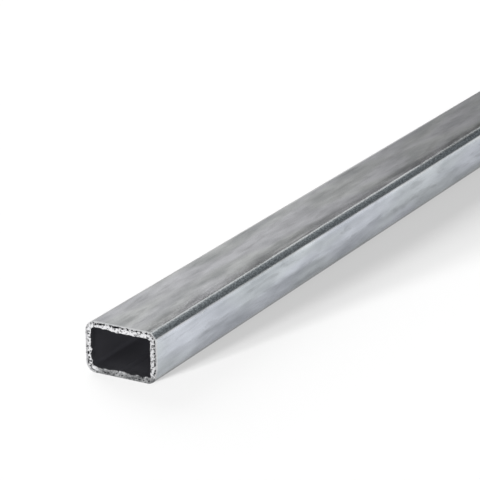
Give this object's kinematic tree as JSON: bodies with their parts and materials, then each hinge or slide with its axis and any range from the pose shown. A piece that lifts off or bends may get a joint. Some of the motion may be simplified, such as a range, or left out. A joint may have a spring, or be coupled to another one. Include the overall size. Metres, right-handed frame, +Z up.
{
  "type": "rectangular steel tube",
  "caption": "Straight rectangular steel tube, thick-walled and round-cornered, sawn square at both ends, for framing and brackets",
  "frame": {"origin": "middle of the underside, halfway along the tube: the centre of the bottom of the box", "axes": "+X across the wide side, to the right when looking along +Y; +Y along the tube, from the near sawn end to the far one; +Z up, across the narrow side"},
  "size_m": [0.03, 1, 0.02],
  "materials": {
    "mill_steel": "bare cold-formed mill steel, satin with lengthwise rolling streaks, darker and rougher inside, bright where it is sawn"
  },
  "bodies": {
    "root": {"rectangular_tube": "mill_steel"}
  },
  "joints": []
}
